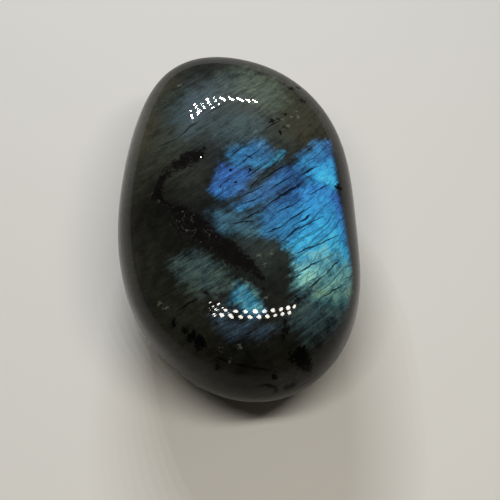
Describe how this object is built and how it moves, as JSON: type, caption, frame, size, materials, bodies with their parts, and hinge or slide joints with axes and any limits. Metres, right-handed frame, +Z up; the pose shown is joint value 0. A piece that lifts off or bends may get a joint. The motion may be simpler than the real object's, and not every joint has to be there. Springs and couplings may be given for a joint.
{
  "type": "labradorite pebble",
  "caption": "Palm-sized pebble of labradorite, tumbled to a smooth lopsided egg shape and polished, with a small flat foot to rest on.",
  "frame": {"origin": "on the resting surface, under the middle of the stone's bounding box", "axes": "+Z up from the flat foot, +Y along the stone's length towards its narrower end, +X to the right across its width"},
  "size_m": [0.0404, 0.0644, 0.0279],
  "materials": {
    "polished_stone": "polished, blue to green schiller over a dark grey body"
  },
  "bodies": {
    "root": {"stone": "polished_stone"}
  },
  "joints": []
}
